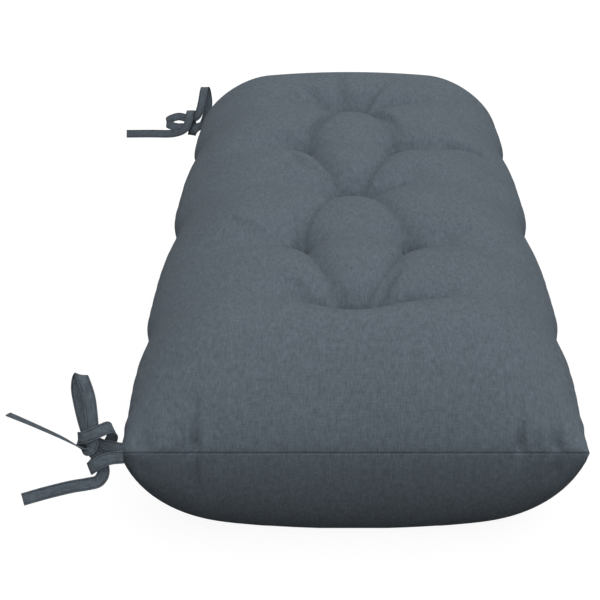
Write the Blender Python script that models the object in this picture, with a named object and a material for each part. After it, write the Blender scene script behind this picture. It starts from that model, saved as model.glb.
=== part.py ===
"""Tufted bench cushion with a bow tied at each of two corners.

Metres, +Z up. The cushion lies flat on its back on z = 0, its length along X and its back edge,
where the ties are, towards +Y. It is one filled solid of two sewn panels. Each tie is two flat
ribbons, sewn into a corner and tied in a bow.
"""

import math

import bmesh
import bpy
import numpy as np
from mathutils import Vector

# Driving dimensions of the cushion
LENGTH = 1.00
WIDTH = 0.50
SEAM_HEIGHT = 0.145  # of the edge seam above the surface that the cushion lies on
CROWN = 0.1165  # of the top panel above the seam, before the tufts draw it down
FULL_DEPTH = 0.176  # of the lower panel below the seam, before the surface flattens it
EDGE_FALL = 0.185  # share of either panel's depth that is lost from its middle line to the long seams
SIDE_DRAW = 0.001  # how far the long seams are drawn in between the corners
SIDE_DRAW_POWER = 8
NOTCHES = (
    # place along the cushion, how much further it draws the long seams in, reach to its near side
    (-0.298, 0.007, 0.050),
    (0.004, 0.011, 0.085),
    (0.295, 0.009, 0.070),
)
NOTCH_FAR_REACH = 0.028
NOTCH_POWER = 2
TOP_BULGE = 0.008  # of the top panel beyond the long seams
LOWER_BULGE = 0.017  # of the lower panel beyond them
BULGE_FADE_POWER = 3  # how suddenly both bulges fade at the corners

# Each rise from a seam: how far inside it the panel is full, how gently it gets there, and how
# upright it starts (2 and 2 is an ellipse)
TOP_NEAR_RISE = (0.140, 1.8, 1.55)
TOP_FAR_RISE = (0.054, 2.0, 1.8)
TOP_SIDE_RISE = (0.118, 1.9, 1.9)
LOWER_END_RISE = (0.120, 1.6, 2.0)
LOWER_SIDE_RISE = (0.119, 3.0, 3.0)

# Tufts: rows of stitches that hold the top down, one on the middle line or one on each side of it
ROW_PITCH = 0.1655
TUFT_ROWS = (
    # row, places of its stitches across the cushion
    (-2, (0.0,)),
    (-1, (-0.073, 0.063)),
    (0, (0.0,)),
    (1, (-0.068, 0.066)),
    (2, (0.0,)),
)
STITCH_POWER = 1.0  # of the hollow round a stitch: lower is more pointed
CENTRE_STITCH_DEPTH, CENTRE_STITCH_REACH = 0.020, 0.030
SIDE_STITCH_DEPTH, SIDE_STITCH_REACH = 0.016, 0.030
CENTRE_STITCH_STRETCH = 1.6  # how much further its hollow reaches across the cushion than along it
VALLEY_POWER = 1.6
CENTRE_VALLEY_DEPTH, CENTRE_VALLEY_REACH = 0.015, 0.032
CENTRE_VALLEY_BEND = 0.060  # of its line towards the far end, at the long edges
CENTRE_VALLEY_SPREAD = 0.80  # of its depth outwards, as a share of the half width
SIDE_VALLEY_DEPTH, SIDE_VALLEY_REACH = 0.019, 0.034
SIDE_VALLEY_BEND = -0.030
SIDE_VALLEY_PLACE = 0.50  # where a two-stitch row's valley is deepest, as a share of the half width
SIDE_VALLEY_SPREAD = 0.20
SIDE_VALLEY_LEAST = 0.42

# Creases that join each stitch to the next row's, bowed outwards round the domes between them
CREASE_REACH = 0.015
CREASE_POWER = 1.0
GATHER = 0.006  # how far to each side of a centre stitch its creases start
OPENING_DEPTH, OPENING_BOW = 0.017, 0.005  # from a centre stitch to the outer ones beyond it
CLOSING_DEPTH, CLOSING_BOW = 0.014, 0.010  # from the outer stitches to the centre one beyond them

MILLIMETRE = 0.001

# Ribbons of the ties
RIBBON_WIDTH = 0.0135
RIBBON_THICKNESS = 0.0016
RIBBON_STEP = 0.003
TIE_LEAN = math.radians(30)  # of both bows, away from the near end

# Cells of the top panel, both even; away from the seam, the lower one's are two by two of these
CELLS_ALONG = 92
CELLS_ACROSS = 48
EDGE_CROWDING = 1.3

CLOTH_GREY = (0.114, 0.139, 0.163, 1.0)
TIE_GREY = (0.100, 0.122, 0.143, 1.0)
CLOTH_ROUGHNESS = 0.92

# Routes of the ribbons, chosen by eye. A tie's own axes, in millimetres: out from the corner,
# up in the bow's plane and back through it. The last three columns are the width's direction.
NEAR_RISER = (
    # out, up, back, width out, width up, width back
    (-5, 5, -7, 0, 1, 0),
    (3, 6, -5, 0, 1, 0),
    (10, 7, 1, 0, 1, 0),
    (18, 8, 5, -0.1, 1, 0),
    (26, 11, 7, -0.5, 1, 0),
    (32, 15, 8, -1, 0.8, 0),
    (36, 23, 8, -1, 0.4, 0),
    (40, 35, 9, -1, 0.3, 0),
    (44, 51, 9, -1, 0.2, 0),
    (47, 67, 9, -1, 0.1, 0),
    (46, 78, 7, -1, -0.1, 0),
    (42, 83, 2, -1, -0.2, 0),
    (38, 77, -3, -1, -0.3, 0),
    (32, 60, -4, -1, -0.3, 0),
    (29, 39, -4, -1, -0.1, 0),
    (28, 23, -3, -1, -0.1, 0),
    (28, 15, -3, -1, -0.1, 0),
    (29, 8, -5, -1, -0.3, 0.1),
    (33, 4, -9, -0.6, -0.6, 0.8),
    (41, 8, -12, 0, -0.2, 1),
    (60, 18, -12, 0, 0, 1),
    (90, 31, -9, 0, 0.1, 1),
    (117, 42, -7, 0, 0.2, 1),
)
NEAR_WRAP = (
    (-6, -3, -11, 0, 1, 0),
    (6, -4, -12, 0, 1, 0),
    (16, -7, -12, 0.3, 1, 0),
    (26, -13, -10, 0.5, 1, 0),
    (31, -16, -3, 0.4, 1, 0),
    (28, -12, 7, 0.5, 1, 0),
    (19, -1, 14, 0.8, 0.6, 0),
    (11, 14, 14, 0.7, 0.8, 0),
    (7, 24, 6, 0.5, 1, 0),
    (10, 28, -6, 0.5, 1, 0),
    (18, 25, -11, 0.5, 1, 0),
    (29, 20, -12, 0.5, 1, 0),
    (38, 17, -9, 0.4, 1, 0),
    (43, 16, -2, 0, 1, 0),
    (38, 11, 3, -0.5, 1, 0),
    (29, 3, 2, -0.8, 0.7, 0),
    (20, -8, 2, -1, 0.4, 0),
    (17, -20, 1, -1, 0.1, 0),
    (22, -29, 0, -0.8, -0.7, 0),
    (33, -32, -2, -0.2, -1, 0),
    (51, -35, -3, -0.2, -1, 0),
    (76, -41, -4, -0.2, -1, 0),
    (101, -48, -5, -0.2, -1, 0),
)
FAR_RISER = (
    (3, 4, 6, 1, 0, 0),
    (-2, 18, 9, 1, 0.2, 0),
    (-7, 42, 11, 1, 0.1, 0),
    (-5, 64, 9, 1, 0, 0),
    (-2, 71, 3, 1, 0, 0),
    (0, 64, -3, 1, 0, 0),
    (3, 44, -5, 1, 0.1, 0),
    (7, 28, -5, 1, 0.4, 0),
    (12, 19, -4, 0.8, 0.8, 0),
    (21, 16, -2, 0.2, 1, 0),
    (32, 18, 3, 0, 1, 0),
    (45, 21, 8, 0, 1, 0),
    (58, 17, 8, 0.1, 1, 0),
    (64, 9, 0, 0, 1, 0),
    (57, 3, -8, 0, 1, 0),
    (45, 0, -8, 0, 1, 0),
    (35, 0, -7, 0, 1, 0),
    (26, 0, -5, 0, 1, 0),
)
FAR_WRAP = (
    (3, 2, -6, 0, 1, 0),
    (9, 0, -9, 0.3, 1, 0),
    (15, -6, -11, 0.8, 1, 0),
    (20, -12, -5, 1, 0.3, 0),
    (21, -9, 6, 1, 0, 0),
    (21, 7, 11, 1, 0, 0),
    (21, 24, 10, 1, 0, 0),
    (22, 30, 2, 1, 0, 0),
    (23, 24, -9, 1, 0, 0),
    (25, 9, -13, 1, 0.2, 0),
    (30, -3, -15, 0.8, 0.8, 0),
    (39, -9, -14, 0.3, 1, 0),
    (57, -12, -10, 0, 1, 0),
    (92, -11, -5, 0, 1, 0),
    (133, -11, -3, 0, 1, 0),
)


def clear_scene():
    """Removes every object, so that the script gives the same scene each time it runs."""
    for obj in list(bpy.data.objects):
        bpy.data.objects.remove(obj, do_unlink=True)


def cloth_material(name, colour):
    """A plain woven finish for one sub-part."""
    material = bpy.data.materials.new(name)
    material.use_nodes = True
    shader = material.node_tree.nodes["Principled BSDF"]
    shader.inputs["Base Color"].default_value = colour
    shader.inputs["Roughness"].default_value = CLOTH_ROUGHNESS
    shader.inputs["Metallic"].default_value = 0.0
    return material


def finished(name, mesh, material):
    """Puts a mesh in the scene as a smooth-shaded object of one material."""
    mesh.materials.append(material)
    mesh.polygons.foreach_set("use_smooth", [True] * len(mesh.polygons))
    obj = bpy.data.objects.new(name, mesh)
    bpy.context.scene.collection.objects.link(obj)
    return obj


def hollow(distance, reach, power):
    """How deep a hollow is at this distance from its deepest place, from 1 down to 0."""
    return np.exp(-((distance / reach) ** power))


def half_width(x):
    """From the middle line to the long seam, which is drawn in between the corners."""
    drawn = SIDE_DRAW * (1 - np.abs(2 * x / LENGTH) ** SIDE_DRAW_POWER)
    for place, depth, near_reach in NOTCHES:
        reach = np.where(x < place, near_reach, NOTCH_FAR_REACH)
        drawn = drawn + depth * hollow(np.abs(x - place), reach, NOTCH_POWER)
    return WIDTH / 2 - drawn


def from_arc(x, y, start, end, bow):
    """Distance of each place to an arc from start to end, which stands off its chord by bow."""
    line = np.subtract(end, start)
    length = np.hypot(*line)
    along = ((x - start[0]) * line[0] + (y - start[1]) * line[1]) / length
    aside = ((y - start[1]) * line[0] - (x - start[0]) * line[1]) / length
    share = np.clip(along / length, 0, 1)
    slope = 4 * bow * (1 - 2 * share) / length
    off_arc = (aside - 4 * bow * share * (1 - share)) / np.hypot(1, slope)
    return np.hypot(off_arc, along - share * length)


def stitch_hollows(x, y):
    """How far each stitch draws the top panel down round it."""
    drawn = np.zeros_like(x)
    for row, stitches in TUFT_ROWS:
        single = len(stitches) == 1
        depth = CENTRE_STITCH_DEPTH if single else SIDE_STITCH_DEPTH
        reach = CENTRE_STITCH_REACH if single else SIDE_STITCH_REACH
        stretch = CENTRE_STITCH_STRETCH if single else 1.0
        for stitch in stitches:
            distance = np.hypot(x - row * ROW_PITCH, (y - stitch) / stretch)
            drawn += depth * hollow(distance, reach, STITCH_POWER)
    return drawn


def valley_hollows(x, y):
    """How far each row's valley, from one long seam to the other, draws the top panel down."""
    drawn = np.zeros_like(x)
    outward = np.abs(2 * y / WIDTH)
    for row, stitches in TUFT_ROWS:
        if len(stitches) == 1:
            depth, reach, bend = CENTRE_VALLEY_DEPTH, CENTRE_VALLEY_REACH, CENTRE_VALLEY_BEND
            share = np.exp(-((outward / CENTRE_VALLEY_SPREAD) ** 2))
        else:
            depth, reach, bend = SIDE_VALLEY_DEPTH, SIDE_VALLEY_REACH, SIDE_VALLEY_BEND
            share = np.exp(-(((outward - SIDE_VALLEY_PLACE) / SIDE_VALLEY_SPREAD) ** 2))
            share = SIDE_VALLEY_LEAST + (1 - SIDE_VALLEY_LEAST) * share
        distance = np.abs(x - row * ROW_PITCH - bend * outward**2)
        drawn += depth * share * hollow(distance, reach, VALLEY_POWER)
    return drawn


def crease_hollows(x, y):
    """How far the creases between neighbouring rows' stitches draw the top panel down."""
    drawn = np.zeros_like(x)
    for (row, stitches), (next_row, next_stitches) in zip(TUFT_ROWS, TUFT_ROWS[1:]):
        opening = len(stitches) == 1
        depth, bow = (OPENING_DEPTH, OPENING_BOW) if opening else (CLOSING_DEPTH, CLOSING_BOW)
        for outer in next_stitches if opening else stitches:
            side = np.sign(outer)
            gathered = side * GATHER
            start, end = (gathered, outer) if opening else (outer, gathered)
            distance = from_arc(x, y, (row * ROW_PITCH, start), (next_row * ROW_PITCH, end), side * bow)
            drawn += depth * hollow(distance, CREASE_REACH, CREASE_POWER)
    return drawn


def rise(inset, reach, gentle, upright):
    """How full a panel is at this distance inside its seam, from 0 on the seam to 1."""
    short = np.maximum(0.0, 1 - inset / reach)
    return (1 - short**gentle) ** (1 / upright)


def bulge(size, a, b, along, across):
    """How far a panel stands out beyond its long seams: most where it is half full."""
    fade = along * (1 - np.abs(a) ** BULGE_FADE_POWER)
    return np.sign(b) * size * 4 * across * (1 - across) * fade


def top_panel(a, b):
    """Points of the top panel, where a and b run from -1 to 1 along and across the cushion."""
    x = a * LENGTH / 2
    half = half_width(x)
    y = b * half
    from_end = (1 - np.abs(a)) * LENGTH / 2
    along = np.where(a < 0, rise(from_end, *TOP_NEAR_RISE), rise(from_end, *TOP_FAR_RISE))
    across = rise((1 - np.abs(b)) * half, *TOP_SIDE_RISE)
    fullness = along * across * (1 - EDGE_FALL * b * b)
    drawn = stitch_hollows(x, y) + valley_hollows(x, y) + crease_hollows(x, y)
    z = SEAM_HEIGHT + fullness * (CROWN - drawn * fullness)
    return np.stack([x, y + bulge(TOP_BULGE, a, b, along, across), z], axis=-1)


def lower_panel(a, b):
    """Points of the lower panel, which lies flat on the surface under the filling's weight."""
    x = a * LENGTH / 2
    half = half_width(x)
    y = b * half
    along = rise((1 - np.abs(a)) * LENGTH / 2, *LOWER_END_RISE)
    across = rise((1 - np.abs(b)) * half, *LOWER_SIDE_RISE)
    fullness = along * across * (1 - EDGE_FALL * b * b)
    z = np.maximum(0.0, SEAM_HEIGHT - FULL_DEPTH * fullness)
    return np.stack([x, y + bulge(LOWER_BULGE, a, b, along, across), z], axis=-1)


def crowded_steps(cells):
    """Steps from -1 to 1 that lie closer together towards both edges."""
    even = np.linspace(-1, 1, cells + 1)
    return np.sign(even) * (1 - (1 - np.abs(even)) ** EDGE_CROWDING)


def lower_lines(cells):
    """The grid lines that the lower panel uses: every second one, and those beside the seam."""
    return [0, 1, *range(2, cells - 1, 2), cells - 1, cells]


def lower_face(i, next_i, j, next_j):
    """Grid places round one face between these lines, with each place that lies on the seam."""
    ring = [(i, column) for column in range(j, next_j)]
    ring += [(row, next_j) for row in range(i, next_i)]
    ring += [(next_i, column) for column in range(next_j, j, -1)]
    ring += [(row, j) for row in range(next_i, i, -1)]
    kept = []
    for row, column in ring:
        on_seam = row in (0, CELLS_ALONG) or column in (0, CELLS_ACROSS)
        if on_seam or (row in (i, next_i) and column in (j, next_j)):
            kept.append((row, column))
    return kept


def cushion(material):
    """The filled cushion: a top and a lower panel that share the vertices of the edge seam."""
    body = bmesh.new()
    a, b = np.meshgrid(crowded_steps(CELLS_ALONG), crowded_steps(CELLS_ACROSS), indexing="ij")
    lower_points = lower_panel(a, b)
    top = [[body.verts.new(point) for point in row] for row in top_panel(a, b)]
    for i in range(CELLS_ALONG):
        for j in range(CELLS_ACROSS):
            body.faces.new((top[i][j], top[i + 1][j], top[i + 1][j + 1], top[i][j + 1]))
    lower = [row[:] for row in top]
    lines, cross_lines = lower_lines(CELLS_ALONG), lower_lines(CELLS_ACROSS)
    for i in lines[1:-1]:
        for j in cross_lines[1:-1]:
            lower[i][j] = body.verts.new(lower_points[i, j])
    for i, next_i in zip(lines, lines[1:]):
        for j, next_j in zip(cross_lines, cross_lines[1:]):
            body.faces.new([lower[row][column] for row, column in lower_face(i, next_i, j, next_j)])
    bmesh.ops.recalc_face_normals(body, faces=body.faces)
    mesh = bpy.data.meshes.new("cushion")
    body.to_mesh(mesh)
    body.free()
    return finished("cushion", mesh, material)


def tie_axes():
    """A tie's own axes in the world: out, up and back."""
    out = (0, 1, 0)
    up = (math.sin(TIE_LEAN), 0, math.cos(TIE_LEAN))
    back = (math.cos(TIE_LEAN), 0, -math.sin(TIE_LEAN))
    return np.array([out, up, back])


def smooth_rows(rows):
    """Rows read from a smooth curve through the given ones, about RIBBON_STEP apart."""
    points = np.array(rows, float)
    points = np.vstack([2 * points[0] - points[1], points, 2 * points[-1] - points[-2]])
    smooth = []
    for before, start, end, after in zip(points, points[1:], points[2:], points[3:]):
        distance = np.linalg.norm(end[:3] - start[:3]) * MILLIMETRE
        pieces = max(1, round(distance / RIBBON_STEP))
        for i in range(pieces):
            t = i / pieces
            curve = 2 * start + (end - before) * t
            curve = curve + (2 * before - 5 * start + 4 * end - after) * t**2
            curve = curve + (3 * start - before - 3 * end + after) * t**3
            smooth.append(curve / 2)
    smooth.append(points[-2])
    return np.array(smooth)


def ribbon(name, route, corner, material):
    """A flat ribbon swept along its route."""
    axes = tie_axes()
    rows = smooth_rows(route)
    centres = np.array(corner) + rows[:, :3] * MILLIMETRE @ axes
    widths = rows[:, 3:] @ axes
    tangents = np.gradient(centres, axis=0)
    strip = bmesh.new()
    rings = []
    for centre, tangent, width in zip(centres, tangents, widths):
        along = Vector(tangent).normalized()
        side = Vector(width)
        side = (side - side.dot(along) * along).normalized() * RIBBON_WIDTH / 2
        face = along.cross(side).normalized() * RIBBON_THICKNESS / 2
        middle = Vector(centre)
        corners = (middle + side + face, middle - side + face, middle - side - face, middle + side - face)
        rings.append([strip.verts.new(point) for point in corners])
    for ring, following in zip(rings, rings[1:]):
        for i in range(4):
            j = (i + 1) % 4
            strip.faces.new((ring[i], ring[j], following[j], following[i]))
    strip.faces.new(rings[0][::-1])
    strip.faces.new(rings[-1])
    bmesh.ops.recalc_face_normals(strip, faces=strip.faces)
    mesh = bpy.data.meshes.new(name)
    strip.to_mesh(mesh)
    strip.free()
    return finished(name, mesh, material)


def main():
    """Makes the whole part."""
    clear_scene()
    cushion(cloth_material("cushion cloth", CLOTH_GREY))
    tie_cloth = cloth_material("tie cloth", TIE_GREY)
    near_corner = (-LENGTH / 2, WIDTH / 2, SEAM_HEIGHT)
    far_corner = (LENGTH / 2, WIDTH / 2, SEAM_HEIGHT)
    ribbon("tie_near_riser", NEAR_RISER, near_corner, tie_cloth)
    ribbon("tie_near_wrap", NEAR_WRAP, near_corner, tie_cloth)
    ribbon("tie_far_riser", FAR_RISER, far_corner, tie_cloth)
    ribbon("tie_far_wrap", FAR_WRAP, far_corner, tie_cloth)


main()
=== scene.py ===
"""Looks of the tufted bench cushion: one padded cushion of woven cloth and a ribbon bow at two corners.

Metres, +Z up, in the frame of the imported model: length along X, the back edge with the ties towards
+Y, the underside on z = 0. The near end of the photograph is the -X end.
"""

import math

import bpy
import numpy as np
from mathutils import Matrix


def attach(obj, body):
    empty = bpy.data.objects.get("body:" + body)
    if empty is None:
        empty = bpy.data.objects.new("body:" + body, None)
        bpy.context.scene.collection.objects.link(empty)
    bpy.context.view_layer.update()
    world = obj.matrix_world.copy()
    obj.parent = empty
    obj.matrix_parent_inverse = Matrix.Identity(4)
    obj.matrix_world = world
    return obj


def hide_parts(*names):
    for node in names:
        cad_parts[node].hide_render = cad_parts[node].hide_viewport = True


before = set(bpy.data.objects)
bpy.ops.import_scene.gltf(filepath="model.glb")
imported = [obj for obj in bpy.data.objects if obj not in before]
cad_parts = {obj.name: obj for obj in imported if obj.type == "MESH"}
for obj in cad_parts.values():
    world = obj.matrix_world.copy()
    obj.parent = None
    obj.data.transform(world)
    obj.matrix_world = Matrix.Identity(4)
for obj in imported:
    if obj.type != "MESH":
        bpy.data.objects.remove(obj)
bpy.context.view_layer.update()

MILLIMETRE = 0.001

# Driving dimensions of the cushion, as in the CAD
LENGTH = 1.00
WIDTH = 0.50
SEAM_HEIGHT = 0.145  # of the edge seam above the floor
CROWN = 0.1165  # of the top panel above the seam, before the tufts draw it down
FULL_DEPTH = 0.176  # of the lower panel below the seam, before the floor flattens it
EDGE_FALL = 0.185  # share of either panel's depth that is lost from its middle line to the long seams
SIDE_DRAW = 0.001  # how far the long seams are drawn in between the corners
SIDE_DRAW_POWER = 8  # how suddenly it fades at the corners
NOTCHES = (
    # place along the cushion, how much further it draws the long seams in, reach to its near side
    (-0.298, 0.007, 0.050),
    (0.004, 0.011, 0.085),
    (0.295, 0.009, 0.070),
)
NOTCH_FAR_REACH = 0.028  # to each one's far side
NOTCH_POWER = 2
TOP_BULGE = 0.008  # of the top panel beyond the long seams
LOWER_BULGE = 0.017  # of the lower panel beyond them
BULGE_FADE_POWER = 3  # how suddenly both bulges fade at the corners

# Each rise from a seam: how far inside it the panel is full, how gently it gets there, and how
# upright it starts (2 and 2 is an ellipse)
TOP_NEAR_RISE = (0.140, 1.8, 1.55)
TOP_FAR_RISE = (0.054, 2.0, 1.8)
TOP_SIDE_RISE = (0.118, 1.9, 1.9)
LOWER_END_RISE = (0.120, 1.6, 2.0)
LOWER_SIDE_RISE = (0.119, 3.0, 3.0)

# Tufts: rows of stitches that hold the top down, one on the middle line or one on each side of it
ROW_PITCH = 0.1655
TUFT_ROWS = (
    # row, places of its stitches across the cushion
    (-2, (0.0,)),
    (-1, (-0.073, 0.063)),
    (0, (0.0,)),
    (1, (-0.068, 0.066)),
    (2, (0.0,)),
)
STITCH_POWER = 1.0  # of the hollow round a stitch: lower is more pointed
CENTRE_STITCH_DEPTH, CENTRE_STITCH_REACH = 0.020, 0.030
SIDE_STITCH_DEPTH, SIDE_STITCH_REACH = 0.016, 0.030
CENTRE_STITCH_STRETCH = 1.6  # how much further its hollow reaches across the cushion than along it
VALLEY_POWER = 1.6  # of each row's valley
CENTRE_VALLEY_DEPTH, CENTRE_VALLEY_REACH = 0.015, 0.032
CENTRE_VALLEY_BEND = 0.060  # of its line towards the far end, at the long edges
CENTRE_VALLEY_SPREAD = 0.80  # of its depth outwards, as a share of the half width
SIDE_VALLEY_DEPTH, SIDE_VALLEY_REACH = 0.019, 0.034
SIDE_VALLEY_BEND = -0.030  # the same, towards the near end
SIDE_VALLEY_PLACE = 0.50  # where a two-stitch row's valley is deepest, as a share of the half width
SIDE_VALLEY_SPREAD = 0.20  # of its depth to either side of that place
SIDE_VALLEY_LEAST = 0.42  # share of the depth that it has everywhere

# Creases that join each stitch to the next row's, bowed outwards round the domes between them
CREASE_REACH = 0.015  # to either side of a crease
CREASE_POWER = 1.0
GATHER = 0.006  # how far to each side of a centre stitch its creases start
OPENING_DEPTH, OPENING_BOW = 0.017, 0.005  # from a centre stitch to the outer ones beyond it
CLOSING_DEPTH, CLOSING_BOW = 0.014, 0.010  # from the outer stitches to the centre one beyond them

# Grooves of the folds and puckers, each with a low ridge to either side
RIDGE_SHARE = 0.5  # how strong the ridges are: 0 is none
FOLD_TAPER_POWER = 0.6  # below 1, so that a fold is deepest before its middle
PUCKER_START = 0.006  # distance from the seam over which a pucker deepens from nothing

# Folds that run out from the stitches and in from the long seams, in millimetres
FOLDS = (
    # start along, start across, end along, end across, bow, depth, reach
    (332, 35, 400, 84, 0, 7, 9),  # behind the far stitch
    (335, 10, 450, 23, 0, 7, 10),
    (334, -16, 410, -62, 0, 9, 9),
    (326, -40, 352, -125, 0, 7, 10),
    (305, -24, 185, -74, 10, 6, 6),  # round the dome before it
    (270, 25, 180, 65, -6, 5, 9),
    (166, -80, 177, -140, 0, 8, 10),  # the row before it
    (168, 80, 197, 118, 0, 7, 10),
    (166, -130, 148, -244, 4, 14, 7),
    (130, 130, 124, 205, 0, 4, 7),
    (6, -20, 30, -125, 0, 10, 10),  # the middle row
    (20, -40, 66, -130, 0, 8, 13),
    (96, 90, 12, 24, 0, 7, 9),
    (-118, 160, -166, 108, 0, 6, 8),  # the row before the middle
    (-142, -150, -166, -88, 0, 5, 9),
    (-164, 160, -176, 225, 0, 5, 6),
    (-164, -160, -172, -225, 0, 4, 6),
    (-155, 65, -40, 42, 8, 7, 9),
    (-335, -24, -245, -62, 0, 6, 7),  # the near stitch
    (-298, 82, -345, 22, 0, 7, 9),
    (-342, -34, -328, -76, 0, 7, 8),
    (-336, -25, -320, -140, 0, 10, 12),
    (-336, 22, -330, 100, 0, 7, 11),
)

# Puckers where the near and far seams gather the cloth, in millimetres
PUCKERS = (
    # end, across, half width, reach above the seam, reach below it, depth
    (-1, 170, 5, 62, 80, 10),
    (-1, 183, 4, 30, 40, 4),
    (-1, 230, 13, 70, 40, 7),
    (-1, -98, 3, 30, 15, 3),
    (-1, -70, 6, 2, 60, 3),
    (-1, 60, 9, 2, 50, 2),
    (-1, -176, 5, 50, 30, 9),
    (-1, -193, 4, 28, 50, 5),
    (-1, -215, 6, 50, 45, 10),
    (1, 205, 6, 50, 40, 8),
    (1, 60, 4, 30, 20, 4),
    (1, -120, 5, 40, 40, 5),
    (1, -200, 5, 50, 30, 8),
)

# Small gathers all along the seams: height of each wave and its length divided by 2 pi
GATHER_WAVES = ((0.0004, 0.0037), (0.0005, 0.0053), (0.0005, 0.0084))
GATHER_START = 0.008  # distance from the seam over which they rise from nothing
GATHER_REACH = 0.045  # distance from the seam at which they end
END_GATHERS = 0.5  # of the two end seams, as a share of the long ones
END_GATHER_POWER = 12  # how suddenly each end's gathers fade towards the cushion's middle
SIDE_GATHER_POWER = 8  # the same for the long seams

# Cells of the top panel, both even; the lower one's are two by two of these
CELLS_ALONG = 384
CELLS_ACROSS = 196
EDGE_CROWDING = 1.25  # how much closer together they lie towards the seams: 1 is even

# Ribbons of the ties
RIBBON_WIDTH = 0.0135
RIBBON_THICKNESS = 0.0016
RIBBON_STEP = 0.0015  # between the rows of points along it
TIE_LEAN = math.radians(30)  # of a bow's plane, over towards the far end
RIBBON_RIM = (
    # across and thick, as shares of the half width and half thickness, from an edge to the middle
    (1.0, 0.25),
    (0.985, 0.7),
    (0.95, 0.95),
    (0.88, 1.0),
    (0.80, 0.92),
    (0.74, 0.80),  # the dip of the sewn line
    (0.68, 0.92),
    (0.5, 1.0),
    (0.25, 1.04),
    (0.0, 1.05),
)

# The two cloths: linear colour, contrast of the mottled yarn, and the sewn line's place inside the
# seam or edge, its half width, the painted shade in it and the painted highlight on the lip beyond it
CUSHION_CLOTH = {
    "colour": (0.114, 0.139, 0.163),
    "contrast": 1.05,
    "line_place": 0.0009,
    "line_width": 0.0015,
    "line_painted_shade": 0.42,
    "lip_painted_highlight": 0.22,
}
# The ties are of the same cloth as the cushion; their colour is the cushion's darkened by about an eighth,
# as painted shade
TIE_CLOTH = {
    "colour": (0.100, 0.122, 0.143),
    "contrast": 1.3,
    "line_place": 0.0019,
    "line_width": 0.0006,
    "line_painted_shade": 0.45,
    "lip_painted_highlight": 0.0,
}
LIP_PLACE = 1.5  # of the lip beyond the line, in the line's half widths
LINE_DEPTH = 2.0  # of the sewn line, in threads' heights
CLOTH_SURFACE = {
    "Roughness": 0.92,
    "Specular IOR Level": 0.10,
    "Sheen Weight": 0.03,
    "Sheen Roughness": 0.55,
}

# Weave of both cloths
THREAD_PITCH = 0.0015
THREAD_HEIGHT = 0.00035
THREAD_BUMP = 0.8  # strength of the threads' relief
GAP_PAINTED_SHADE = 0.88  # painted shade between the threads
CREST_PAINTED_LIGHT = 0.16  # painted light, more than that on the threads' crests
YARN_MOTTLES = 130.0  # to the metre, along each thread
YARN_DETAIL = 0.5  # of the mottles' noise
YARN_RELIEF = 0.8  # of the pale mottles, in threads' heights
WARP_JUMP = 7.31  # from one warp thread's mottles to the next one's
WEFT_JUMP = 5.17  # the same for the weft
WEFT_LAYER = 40.0  # keeps the weft's mottles unlike the warp's
WEFT_LEAST = 0.25  # share of the weft's shade where the warp lies over it
WEFT_MORE = 0.3  # more than that where the weft lies over
CLOUDS = 9.0  # to the metre: large, faint changes of shade
CLOUD_DETAIL = 3.0  # of the clouds' noise
CLOUD_CONTRAST = 0.10

# Floor: pale and evenly bright, with a very faint shadow
FLOOR_HALF_SIDE = 40.0
FLOOR_SURFACE = {
    "Base Color": (0.15, 0.15, 0.15, 1),
    "Emission Color": (1, 1, 1, 1),
    "Emission Strength": 0.90,
    "Roughness": 1.0,
    "Specular IOR Level": 0.0,
}

# Studio light: a soft dome, brighter towards the photograph's right and near sides
SKY_LIGHT = 1.54  # of the full dome, before its lean
SKY_LEAN = (-0.33, -0.27, -0.40)  # how much brighter it is towards +X, +Y and +Z
SKY_EDGE = 0.38  # height above the horizon, as a sine, from which the dome is full

# Camera: the photograph's place and lens, worked out from the cushion's corners
IMAGE_SIDE = 600
SENSOR = 36.0  # width in millimetres
FOCAL_PIXELS = 1323.2
CAMERA_PITCH = math.radians(27.49)
CAMERA_BEHIND = 1.1719  # of the near seam
CAMERA_ASIDE = 0.0182  # of the middle line, towards the ties
CAMERA_ABOVE = 0.7937  # the seam's height
MIDDLE_PIXEL = 337.5  # the column in which lines along the cushion meet


# Routes of the ribbons, as in the CAD. A tie's own axes, in millimetres: out from the corner, up in
# the bow's plane and back through it. The last three columns are the width's direction.
NEAR_RISER = (
    # out, up, back, width out, width up, width back
    (-5, 5, -7, 0, 1, 0),
    (3, 6, -5, 0, 1, 0),
    (10, 7, 1, 0, 1, 0),
    (18, 8, 5, -0.1, 1, 0),
    (26, 11, 7, -0.5, 1, 0),
    (32, 15, 8, -1, 0.8, 0),
    (36, 23, 8, -1, 0.4, 0),
    (40, 35, 9, -1, 0.3, 0),
    (44, 51, 9, -1, 0.2, 0),
    (47, 67, 9, -1, 0.1, 0),
    (46, 78, 7, -1, -0.1, 0),
    (42, 83, 2, -1, -0.2, 0),
    (38, 77, -3, -1, -0.3, 0),
    (32, 60, -4, -1, -0.3, 0),
    (29, 39, -4, -1, -0.1, 0),
    (28, 23, -3, -1, -0.1, 0),
    (28, 15, -3, -1, -0.1, 0),
    (29, 8, -5, -1, -0.3, 0.1),
    (33, 4, -9, -0.6, -0.6, 0.8),
    (41, 8, -12, 0, -0.2, 1),
    (60, 18, -12, 0, 0, 1),
    (90, 31, -9, 0, 0.1, 1),
    (117, 42, -7, 0, 0.2, 1),
)
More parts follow.
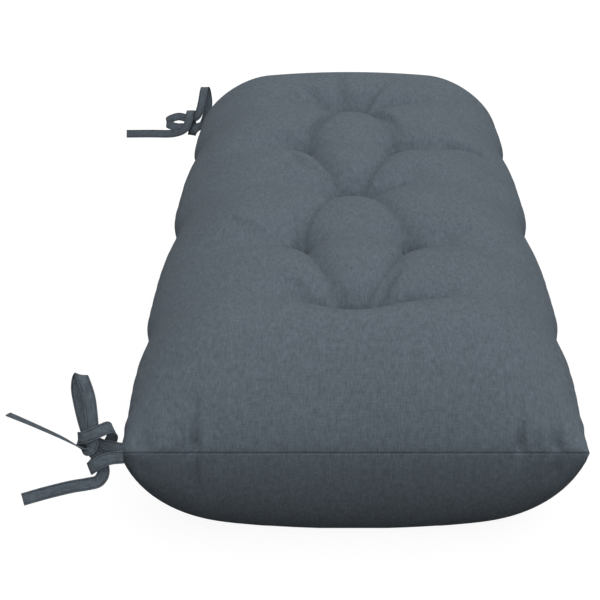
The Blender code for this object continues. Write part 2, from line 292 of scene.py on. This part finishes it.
NEAR_WRAP = (
    (-6, -3, -11, 0, 1, 0),
    (6, -4, -12, 0, 1, 0),
    (16, -7, -12, 0.3, 1, 0),
    (26, -13, -10, 0.5, 1, 0),
    (31, -16, -3, 0.4, 1, 0),
    (28, -12, 7, 0.5, 1, 0),
    (19, -1, 14, 0.8, 0.6, 0),
    (11, 14, 14, 0.7, 0.8, 0),
    (7, 24, 6, 0.5, 1, 0),
    (10, 28, -6, 0.5, 1, 0),
    (18, 25, -11, 0.5, 1, 0),
    (29, 20, -12, 0.5, 1, 0),
    (38, 17, -9, 0.4, 1, 0),
    (43, 16, -2, 0, 1, 0),
    (38, 11, 3, -0.5, 1, 0),
    (29, 3, 2, -0.8, 0.7, 0),
    (20, -8, 2, -1, 0.4, 0),
    (17, -20, 1, -1, 0.1, 0),
    (22, -29, 0, -0.8, -0.7, 0),
    (33, -32, -2, -0.2, -1, 0),
    (51, -35, -3, -0.2, -1, 0),
    (76, -41, -4, -0.2, -1, 0),
    (101, -48, -5, -0.2, -1, 0),
)
FAR_RISER = (
    (3, 4, 6, 1, 0, 0),
    (-2, 18, 9, 1, 0.2, 0),
    (-7, 42, 11, 1, 0.1, 0),
    (-5, 64, 9, 1, 0, 0),
    (-2, 71, 3, 1, 0, 0),
    (0, 64, -3, 1, 0, 0),
    (3, 44, -5, 1, 0.1, 0),
    (7, 28, -5, 1, 0.4, 0),
    (12, 19, -4, 0.8, 0.8, 0),
    (21, 16, -2, 0.2, 1, 0),
    (32, 18, 3, 0, 1, 0),
    (45, 21, 8, 0, 1, 0),
    (58, 17, 8, 0.1, 1, 0),
    (64, 9, 0, 0, 1, 0),
    (57, 3, -8, 0, 1, 0),
    (45, 0, -8, 0, 1, 0),
    (35, 0, -7, 0, 1, 0),
    (26, 0, -5, 0, 1, 0),
)
FAR_WRAP = (
    (3, 2, -6, 0, 1, 0),
    (9, 0, -9, 0.3, 1, 0),
    (15, -6, -11, 0.8, 1, 0),
    (20, -12, -5, 1, 0.3, 0),
    (21, -9, 6, 1, 0, 0),
    (21, 7, 11, 1, 0, 0),
    (21, 24, 10, 1, 0, 0),
    (22, 30, 2, 1, 0, 0),
    (23, 24, -9, 1, 0, 0),
    (25, 9, -13, 1, 0.2, 0),
    (30, -3, -15, 0.8, 0.8, 0),
    (39, -9, -14, 0.3, 1, 0),
    (57, -12, -10, 0, 1, 0),
    (92, -11, -5, 0, 1, 0),
    (133, -11, -3, 0, 1, 0),
)


def make_camera():
    """The camera at the photograph's place, looking along the cushion from above its near end."""
    data = bpy.data.cameras.new("camera")
    data.sensor_width = SENSOR
    data.lens = FOCAL_PIXELS / IMAGE_SIDE * SENSOR
    data.shift_x = (IMAGE_SIDE / 2 - MIDDLE_PIXEL) / IMAGE_SIDE
    camera = bpy.data.objects.new("camera", data)
    camera.location = (-LENGTH / 2 - CAMERA_BEHIND, CAMERA_ASIDE, SEAM_HEIGHT + CAMERA_ABOVE)
    camera.rotation_euler = (math.pi / 2 - CAMERA_PITCH, 0, -math.pi / 2)
    bpy.context.scene.collection.objects.link(camera)
    bpy.context.scene.camera = camera


class Graph:
    """A small helper that adds nodes to one material's tree."""

    def __init__(self, material, surface):
        """Starts from the material's own shader, with these plain values on its sockets."""
        material.use_nodes = True
        self.tree = material.node_tree
        self.shader = self.tree.nodes["Principled BSDF"]
        for name, value in surface.items():
            self.shader.inputs[name].default_value = value

    def node(self, kind, **settings):
        made = self.tree.nodes.new(kind)
        for name, value in settings.items():
            setattr(made, name, value)
        return made

    def feed(self, socket, value):
        """Links a node's output to the socket, or sets the socket to a plain value."""
        if isinstance(value, bpy.types.NodeSocket):
            self.tree.links.new(value, socket)
        else:
            socket.default_value = value

    def uv(self, name):
        """The two numbers of a UV map."""
        split = self.node("ShaderNodeSeparateXYZ")
        self.feed(split.inputs[0], self.node("ShaderNodeUVMap", uv_map=name).outputs[0])
        return split.outputs[0], split.outputs[1]

    def vector(self, x, y, z=0.0):
        made = self.node("ShaderNodeCombineXYZ")
        for socket, value in zip(made.inputs, (x, y, z)):
            self.feed(socket, value)
        return made.outputs[0]

    def math(self, operation, *values):
        made = self.node("ShaderNodeMath", operation=operation)
        for socket, value in zip(made.inputs, values):
            self.feed(socket, value)
        return made.outputs[0]

    def mix(self, share, first, second):
        """A plain mix of two numbers."""
        made = self.node("ShaderNodeMix")
        self.feed(made.inputs["Factor"], share)
        self.feed(made.inputs["A"], first)
        self.feed(made.inputs["B"], second)
        return made.outputs["Result"]

    def noise(self, vector, scale, detail):
        made = self.node("ShaderNodeTexNoise")
        self.feed(made.inputs["Vector"], vector)
        made.inputs["Scale"].default_value = scale
        made.inputs["Detail"].default_value = detail
        return made.outputs["Fac"]

    def swing(self, noise, size):
        """A noise turned into a change of this size to either side of none."""
        return self.math("MULTIPLY", self.math("SUBTRACT", noise, 0.5), size)

    def arch(self, value):
        """From 0 at each whole number up to 1 half way to the next."""
        return self.math("SINE", self.math("MULTIPLY", self.math("FRACT", value), math.pi))

    def tent(self, value, place, width):
        """1 where the value is at the place, down to 0 this far from it."""
        off = self.math("ABSOLUTE", self.math("SUBTRACT", value, place))
        return self.math("MAXIMUM", self.math("SUBTRACT", 1.0, self.math("DIVIDE", off, width)), 0.0)


def weave(graph, along, across):
    """The mottled yarn's shade and the threads' height in a plain weave, both from 0 to 1."""
    warp = graph.math("DIVIDE", across, THREAD_PITCH)
    weft = graph.math("DIVIDE", along, THREAD_PITCH)
    warp_index, weft_index = graph.math("FLOOR", warp), graph.math("FLOOR", weft)
    weft_over = graph.math("ABSOLUTE", graph.math("MODULO", graph.math("ADD", warp_index, weft_index), 2.0))
    # the shade wanders along each thread and jumps from one thread to the next
    warp_place = graph.vector(
        graph.math("MULTIPLY", along, YARN_MOTTLES),
        graph.math("MULTIPLY", warp_index, WARP_JUMP),
    )
    weft_place = graph.vector(
        graph.math("MULTIPLY", weft_index, WEFT_JUMP),
        graph.math("MULTIPLY", across, YARN_MOTTLES),
        WEFT_LAYER,
    )
    warp_shade = graph.noise(warp_place, 1.0, YARN_DETAIL)
    weft_shade = graph.noise(weft_place, 1.0, YARN_DETAIL)
    weft_share = graph.math("MULTIPLY_ADD", weft_over, WEFT_MORE, WEFT_LEAST)
    shade = graph.mix(weft_share, warp_shade, weft_shade)
    height = graph.mix(weft_over, graph.arch(warp), graph.arch(weft))
    return shade, height


def cloth_material(name, colour, contrast, line_place, line_width, line_painted_shade, lip_painted_highlight):
    """Plain woven cloth of mottled yarn, with a sunken sewn line at one distance inside its edge, darkened
    with painted shade.

    The other panel's lip on the far side of that line gets a painted highlight, as if it caught the light.
    """
    material = bpy.data.materials.new(name)
    graph = Graph(material, CLOTH_SURFACE)
    along, across = graph.uv("cloth")
    shade, height = weave(graph, along, across)
    clouds = graph.noise(graph.vector(along, across), CLOUDS, CLOUD_DETAIL)
    gain = graph.math("ADD", graph.swing(shade, contrast), 1.0)
    gain = graph.math("ADD", gain, graph.swing(clouds, CLOUD_CONTRAST))
    # painted shade between the threads and painted light on their crests
    gain = graph.math("MULTIPLY", gain, graph.math("MULTIPLY_ADD", height, CREST_PAINTED_LIGHT, GAP_PAINTED_SHADE))
    inset, _ = graph.uv("inset")
    line = graph.tent(inset, line_place, line_width)
    lip = graph.tent(inset, line_place - LIP_PLACE * line_width, line_width)
    # painted shade in the sunken sewn line, and a painted highlight on the lip beyond it
    painted_groove_shade = graph.math("MULTIPLY", line, line_painted_shade)
    seam_painted_light = graph.math("SUBTRACT", graph.math("MULTIPLY_ADD", lip, lip_painted_highlight, 1.0), painted_groove_shade)
    tint = graph.node("ShaderNodeVectorMath", operation="SCALE")
    tint.inputs[0].default_value = colour
    graph.feed(tint.inputs["Scale"], graph.math("MULTIPLY", gain, seam_painted_light))
    graph.feed(graph.shader.inputs["Base Color"], tint.outputs[0])
    relief = graph.math("ADD", height, graph.math("MULTIPLY", shade, YARN_RELIEF))
    relief = graph.math("SUBTRACT", relief, graph.math("MULTIPLY", line, LINE_DEPTH))
    bump = graph.node("ShaderNodeBump")
    bump.inputs["Distance"].default_value = THREAD_HEIGHT
    bump.inputs["Strength"].default_value = THREAD_BUMP
    graph.feed(bump.inputs["Height"], relief)
    graph.feed(graph.shader.inputs["Normal"], bump.outputs["Normal"])
    return material


def tie_axes():
    """A tie's own axes in the world: out, up and back."""
    lean = math.sin(TIE_LEAN)
    upright = math.cos(TIE_LEAN)
    return np.array([(0, 1, 0), (lean, 0, upright), (upright, 0, -lean)])


def smooth_rows(rows):
    """Rows read from a smooth curve through the given ones, about RIBBON_STEP apart."""
    points = np.array(rows, float)
    points = np.vstack([2 * points[0] - points[1], points, 2 * points[-1] - points[-2]])
    smooth = []
    for before, start, end, after in zip(points, points[1:], points[2:], points[3:]):
        distance = np.linalg.norm(end[:3] - start[:3]) * MILLIMETRE
        pieces = max(1, round(distance / RIBBON_STEP))
        for i in range(pieces):
            t = i / pieces
            curve = 2 * start + (end - before) * t
            curve = curve + (2 * before - 5 * start + 4 * end - after) * t**2
            curve = curve + (3 * start - before - 3 * end + after) * t**3
            smooth.append(curve / 2)
    smooth.append(points[-2])
    return np.array(smooth)


def unit(vectors):
    """The vectors, each at length 1."""
    return vectors / np.linalg.norm(vectors, axis=-1, keepdims=True)


def grid_faces(rows, columns, wrap):
    """The corners of each face of a grid of points, whose columns may close into a ring."""
    index = np.arange(rows * columns).reshape(rows, columns)
    following = np.roll(index, -1, axis=1)
    if not wrap:
        index, following = index[:, :-1], following[:, :-1]
    return np.stack([index[:-1], following[:-1], following[1:], index[1:]], axis=-1).reshape(-1, 4)


def mesh_object(name, points, faces, material, **maps):
    """A smooth-shaded mesh with UV maps of these names, each with two numbers for every face's corners."""
    mesh = bpy.data.meshes.new(name)
    mesh.from_pydata(points.tolist(), [], faces)
    for map_name, values in maps.items():
        mesh.uv_layers.new(name=map_name).uv.foreach_set("vector", values.astype(np.float32).ravel())
    mesh.materials.append(material)
    mesh.polygons.foreach_set("use_smooth", np.ones(len(mesh.polygons), bool))
    mesh.update()
    obj = bpy.data.objects.new(name, mesh)
    bpy.context.scene.collection.objects.link(obj)
    return obj


def run_lengths(points):
    """How far along the line through the points each of them lies."""
    steps = np.linalg.norm(np.diff(points, axis=0), axis=1)
    return np.concatenate([[0], np.cumsum(steps)])


def ribbon_section():
    """The ribbon's whole rim, as places across it and through its thickness."""
    upper = list(RIBBON_RIM) + [(-across, thick) for across, thick in RIBBON_RIM[-2::-1]]
    lower = [(-across, -thick) for across, thick in upper]
    return np.array(upper + lower) * (RIBBON_WIDTH / 2, RIBBON_THICKNESS / 2)


def ribbon_maps(faces, along, section):
    """The cloth and inset maps of a ribbon's side faces, followed by plain zeros for its two ends."""
    ring = len(section)
    around = run_lengths(np.vstack([section, section[:1]]))
    row, column = np.divmod(faces[:, 0], ring)
    rows = np.stack([row, row, row + 1, row + 1], axis=1)
    columns = np.stack([column, column + 1, column + 1, column], axis=1)
    cloth = np.stack([along[rows], around[columns]], axis=-1)
    from_edge = RIBBON_WIDTH / 2 - np.abs(section[:, 0])
    inset = from_edge[columns % ring]
    inset = np.stack([inset, np.zeros_like(inset)], axis=-1)
    ends = np.zeros((2 * ring, 2))
    return [np.concatenate([values.reshape(-1, 2), ends]) for values in (cloth, inset)]


def ribbon(name, node, route, corner, material):
    """A flat tie ribbon along its route from a corner, in place of the CAD part that it hides."""
    axes = tie_axes()
    rows = smooth_rows(route)
    centres = np.array(corner) + rows[:, :3] * MILLIMETRE @ axes
    tangents = unit(np.gradient(centres, axis=0))
    widths = rows[:, 3:] @ axes
    widths = unit(widths - (widths * tangents).sum(1, keepdims=True) * tangents)
    faces_out = np.cross(tangents, widths)
    section = ribbon_section()
    across, thick = section[:, :1], section[:, 1:]
    points = centres[:, None] + widths[:, None] * across + faces_out[:, None] * thick
    count, ring = len(centres), len(section)
    faces = grid_faces(count, ring, wrap=True)
    ends = [list(range(ring))[::-1], list(range((count - 1) * ring, count * ring))]
    along = run_lengths(centres)
    cloth, inset = ribbon_maps(faces, along, section)
    obj = mesh_object(name, points.reshape(-1, 3), faces.tolist() + ends, material, cloth=cloth, inset=inset)
    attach(obj, "root")
    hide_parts(node)


def hollow(distance, reach, power):
    """How deep a hollow is at this distance from its deepest place, from 1 down to 0."""
    return np.exp(-((distance / reach) ** power))


def half_width(x):
    """From the middle line to the long seam, which is drawn in between the corners."""
    drawn = SIDE_DRAW * (1 - np.abs(2 * x / LENGTH) ** SIDE_DRAW_POWER)
    for place, depth, near_reach in NOTCHES:
        reach = np.where(x < place, near_reach, NOTCH_FAR_REACH)
        drawn = drawn + depth * hollow(np.abs(x - place), reach, NOTCH_POWER)
    return WIDTH / 2 - drawn


def from_arc(x, y, start, end, bow):
    """Distance of each place to an arc that stands off its chord by bow, and the share along it."""
    line = np.subtract(end, start)
    length = np.hypot(*line)
    along = ((x - start[0]) * line[0] + (y - start[1]) * line[1]) / length
    aside = ((y - start[1]) * line[0] - (x - start[0]) * line[1]) / length
    share = np.clip(along / length, 0, 1)
    slope = 4 * bow * (1 - 2 * share) / length
    off_arc = (aside - 4 * bow * share * (1 - share)) / np.hypot(1, slope)
    return np.hypot(off_arc, along - share * length), share


def stitch_hollows(x, y):
    """How far each stitch draws the top panel down round it."""
    drawn = np.zeros_like(x)
    for row, stitches in TUFT_ROWS:
        single = len(stitches) == 1
        depth = CENTRE_STITCH_DEPTH if single else SIDE_STITCH_DEPTH
        reach = CENTRE_STITCH_REACH if single else SIDE_STITCH_REACH
        stretch = CENTRE_STITCH_STRETCH if single else 1.0
        for stitch in stitches:
            distance = np.hypot(x - row * ROW_PITCH, (y - stitch) / stretch)
            drawn += depth * hollow(distance, reach, STITCH_POWER)
    return drawn


def valley_hollows(x, y):
    """How far each row's valley, from one long seam to the other, draws the top panel down."""
    drawn = np.zeros_like(x)
    outward = np.abs(2 * y / WIDTH)
    for row, stitches in TUFT_ROWS:
        if len(stitches) == 1:
            depth, reach, bend = CENTRE_VALLEY_DEPTH, CENTRE_VALLEY_REACH, CENTRE_VALLEY_BEND
            share = np.exp(-((outward / CENTRE_VALLEY_SPREAD) ** 2))
        else:
            depth, reach, bend = SIDE_VALLEY_DEPTH, SIDE_VALLEY_REACH, SIDE_VALLEY_BEND
            share = np.exp(-(((outward - SIDE_VALLEY_PLACE) / SIDE_VALLEY_SPREAD) ** 2))
            share = SIDE_VALLEY_LEAST + (1 - SIDE_VALLEY_LEAST) * share
        distance = np.abs(x - row * ROW_PITCH - bend * outward**2)
        drawn += depth * share * hollow(distance, reach, VALLEY_POWER)
    return drawn


def crease_hollows(x, y):
    """How far the creases between neighbouring rows' stitches draw the top panel down."""
    drawn = np.zeros_like(x)
    for (row, stitches), (next_row, next_stitches) in zip(TUFT_ROWS, TUFT_ROWS[1:]):
        opening = len(stitches) == 1
        depth, bow = (OPENING_DEPTH, OPENING_BOW) if opening else (CLOSING_DEPTH, CLOSING_BOW)
        for outer in next_stitches if opening else stitches:
            side = np.sign(outer)
            gathered = side * GATHER
            start, end = (gathered, outer) if opening else (outer, gathered)
            distance, _ = from_arc(x, y, (row * ROW_PITCH, start), (next_row * ROW_PITCH, end), side * bow)
            drawn += depth * hollow(distance, CREASE_REACH, CREASE_POWER)
    return drawn


def pinch(distance, reach):
    """A groove from 1 at its deepest place, with a low ridge beside it."""
    gap = (distance / reach) ** 2
    return (1 - RIDGE_SHARE * gap) * np.exp(-gap / 2)


def fold_hollows(x, y):
    """How far the folds draw the top panel down: most near their starts, and fading out."""
    drawn = np.zeros_like(x)
    for start_x, start_y, end_x, end_y, bow, depth, reach in np.array(FOLDS) * MILLIMETRE:
        distance, share = from_arc(x, y, (start_x, start_y), (end_x, end_y), bow)
        drawn += depth * np.sin(math.pi * share**FOLD_TAPER_POWER) * pinch(distance, reach)
    return drawn


def pucker_draw(a, y, climb, above):
    """How far the puckers draw a panel's end inwards, climb being its distance from the seam."""
    drawn = np.zeros_like(y)
    for end, *sizes in PUCKERS:
        across, half, reach_above, reach_below, depth = np.array(sizes) * MILLIMETRE
        reach = np.where(above, reach_above, reach_below)
        fade = np.clip(1 - climb / reach, 0, 1) * np.clip(climb / PUCKER_START, 0, 1)
        drawn -= np.where(a * end > 0, end * depth * pinch(y - across, half) * fade, 0)
    return drawn


def gathers(run, climb):
    """How far the gathers along a seam push a panel out, climb being its distance from the seam."""
    wave = sum(height * np.sin(run / length + 1 / length) for height, length in GATHER_WAVES)
    return wave * np.clip(climb / GATHER_START, 0, 1) * np.clip(1 - climb / GATHER_REACH, 0, 1)


def rise(inset, reach, gentle, upright):
    """How full a panel is at this distance inside its seam, from 0 on the seam to 1."""
    short = np.maximum(0.0, 1 - inset / reach)
    return (1 - short**gentle) ** (1 / upright)


def bulge(size, a, b, along, across):
    """How far a panel stands out beyond its long seams: most where it is half full."""
    fade = along * (1 - np.abs(a) ** BULGE_FADE_POWER)
    return np.sign(b) * size * 4 * across * (1 - across) * fade


def panel_points(a, b, x, y, z, bulged):
    """A panel's points with the puckers and gathers of its seams."""
    climb = np.abs(z - SEAM_HEIGHT)
    out_x = pucker_draw(a, y, climb, above=z > SEAM_HEIGHT)
    out_x = out_x + np.sign(a) * np.abs(a) ** END_GATHER_POWER * END_GATHERS * gathers(y, climb)
    out_y = bulged + np.sign(b) * np.abs(b) ** SIDE_GATHER_POWER * gathers(x, climb)
    return np.stack([x + out_x, y + out_y, z], axis=-1)


def top_panel(a, b, tufted=True):
    """Points of the top panel, where a and b run from -1 to 1 along and across the cushion."""
    x = a * LENGTH / 2
    half = half_width(x)
    y = b * half
    from_end = (1 - np.abs(a)) * LENGTH / 2
    along = np.where(a < 0, rise(from_end, *TOP_NEAR_RISE), rise(from_end, *TOP_FAR_RISE))
    across = rise((1 - np.abs(b)) * half, *TOP_SIDE_RISE)
    fullness = along * across * (1 - EDGE_FALL * b * b)
    drawn = 0.0
    if tufted:
        drawn = stitch_hollows(x, y) + valley_hollows(x, y) + crease_hollows(x, y) + fold_hollows(x, y)
    z = SEAM_HEIGHT + fullness * (CROWN - drawn * fullness)
    return panel_points(a, b, x, y, z, bulge(TOP_BULGE, a, b, along, across))


def lower_panel(a, b):
    """Points of the lower panel, which lies flat on the floor under the filling's weight."""
    x = a * LENGTH / 2
    half = half_width(x)
    y = b * half
    along = rise((1 - np.abs(a)) * LENGTH / 2, *LOWER_END_RISE)
    across = rise((1 - np.abs(b)) * half, *LOWER_SIDE_RISE)
    fullness = along * across * (1 - EDGE_FALL * b * b)
    z = np.maximum(0.0, SEAM_HEIGHT - FULL_DEPTH * fullness)
    return panel_points(a, b, x, y, z, bulge(LOWER_BULGE, a, b, along, across))


def crowded_steps(cells):
    """Steps from -1 to 1 that lie closer together towards both edges."""
    even = np.linspace(-1, 1, cells + 1)
    return np.sign(even) * (1 - (1 - np.abs(even)) ** EDGE_CROWDING)


def cloth_places(points):
    """Each point's place in the flat cloth from the panel's middle, and its distance from the seam."""
    places, insets = [], []
    for axis in (0, 1):
        steps = np.linalg.norm(np.diff(points, axis=axis), axis=-1)
        run = np.insert(np.cumsum(steps, axis=axis), 0, 0, axis=axis)
        middle = np.take(run, [run.shape[axis] // 2], axis=axis)
        whole = np.take(run, [-1], axis=axis)
        places.append(run - middle)
        insets.append(np.minimum(run, whole - run))
    return np.stack(places, axis=-1), np.minimum(*insets)


def lower_faces(index):
    """Faces of two by two cells each, which keep every point of the seam round the panel's edge."""
    faces = []
    last_row, last_column = index.shape[0] - 1, index.shape[1] - 1
    for i in range(0, last_row, 2):
        for j in range(0, last_column, 2):
            ring = ((i, j), (i, j + 1), (i, j + 2), (i + 1, j + 2))
            ring += ((i + 2, j + 2), (i + 2, j + 1), (i + 2, j), (i + 1, j))
            face = []
            for row, column in ring:
                on_seam = row in (0, last_row) or column in (0, last_column)
                if on_seam or (row % 2 == 0 and column % 2 == 0):
                    face.append(int(index[row, column]))
            faces.append(face)
    return faces


def cushion(material):
    """The filled cushion: a top and a lower panel that share the points of the edge seam."""
    a, b = np.meshgrid(crowded_steps(CELLS_ALONG), crowded_steps(CELLS_ACROSS), indexing="ij")
    top, lower = top_panel(a, b), lower_panel(a, b)
    # the lower panel's own points: every second one each way, inside the seam
    own = np.zeros(a.shape, bool)
    own[2:-1:2, 2:-1:2] = True
    lower_index = np.arange(a.size).reshape(a.shape)
    lower_index[own] = a.size + np.arange(own.sum())
    points = np.concatenate([top.reshape(-1, 3), lower[own]])
    top_cloth, top_inset = cloth_places(top_panel(a, b, tufted=False))
    lower_cloth, lower_inset = cloth_places(lower)
    cloth = np.concatenate([top_cloth.reshape(-1, 2), lower_cloth[own]])
    inset = np.concatenate([top_inset.ravel(), -lower_inset[own]])
    inset = np.stack([inset, np.zeros_like(inset)], axis=-1)
    faces = grid_faces(*a.shape, wrap=False)[:, ::-1].tolist() + lower_faces(lower_index)
    corners = np.concatenate([np.array(face) for face in faces])
    obj = mesh_object("padded_cushion", points, faces, material, cloth=cloth[corners], inset=inset[corners])
    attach(obj, "root")
    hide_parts("cushion")


def make_floor():
    """A plain pale floor, much larger than the view."""
    side = FLOOR_HALF_SIDE
    corners = [(-side, -side, 0), (side, -side, 0), (side, side, 0), (-side, side, 0)]
    mesh = bpy.data.meshes.new("floor")
    mesh.from_pydata(corners, [], [(0, 1, 2, 3)])
    material = bpy.data.materials.new("pale floor")
    Graph(material, FLOOR_SURFACE)
    mesh.materials.append(material)
    floor = bpy.data.objects.new("floor", mesh)
    floor.visible_diffuse = False
    floor.visible_glossy = False
    bpy.context.scene.collection.objects.link(floor)


def make_light():
    """Soft studio light: a bright dome above the horizon that leans towards the near right side."""
    scene = bpy.context.scene
    scene.view_settings.view_transform = "Standard"
    world = bpy.data.worlds.new("studio")
    scene.world = world
    world.use_nodes = True
    tree = world.node_tree
    direction = tree.nodes.new("ShaderNodeTexCoord").outputs["Generated"]
    split = tree.nodes.new("ShaderNodeSeparateXYZ")
    lean = tree.nodes.new("ShaderNodeVectorMath")
    lean.operation = "DOT_PRODUCT"
    lean.inputs[1].default_value = SKY_LEAN
    dome = tree.nodes.new("ShaderNodeMapRange")
    dome.interpolation_type = "SMOOTHSTEP"
    dome.inputs["From Min"].default_value = 0.0
    dome.inputs["From Max"].default_value = SKY_EDGE
    dome.inputs["To Max"].default_value = SKY_LIGHT
    strength = tree.nodes.new("ShaderNodeMath")
    strength.operation = "MULTIPLY_ADD"
    tree.links.new(direction, split.inputs[0])
    tree.links.new(direction, lean.inputs[0])
    tree.links.new(split.outputs["Z"], dome.inputs["Value"])
    # the dome times its lean, plus the dome
    tree.links.new(lean.outputs["Value"], strength.inputs[0])
    for socket in strength.inputs[1:]:
        tree.links.new(dome.outputs[0], socket)
    background = tree.nodes["Background"]
    tree.links.new(strength.outputs[0], background.inputs["Strength"])
    background.inputs["Color"].default_value = (1, 1, 1, 1)


make_camera()
near_corner = (-LENGTH / 2, WIDTH / 2, SEAM_HEIGHT)
far_corner = (LENGTH / 2, WIDTH / 2, SEAM_HEIGHT)
tie_cloth = cloth_material("tie cloth", **TIE_CLOTH)
ribbon("near_tie_riser", "tie_near_riser", NEAR_RISER, near_corner, tie_cloth)
ribbon("near_tie_wrap", "tie_near_wrap", NEAR_WRAP, near_corner, tie_cloth)
ribbon("far_tie_riser", "tie_far_riser", FAR_RISER, far_corner, tie_cloth)
ribbon("far_tie_wrap", "tie_far_wrap", FAR_WRAP, far_corner, tie_cloth)
cushion(cloth_material("cushion cloth", **CUSHION_CLOTH))
make_floor()
make_light()
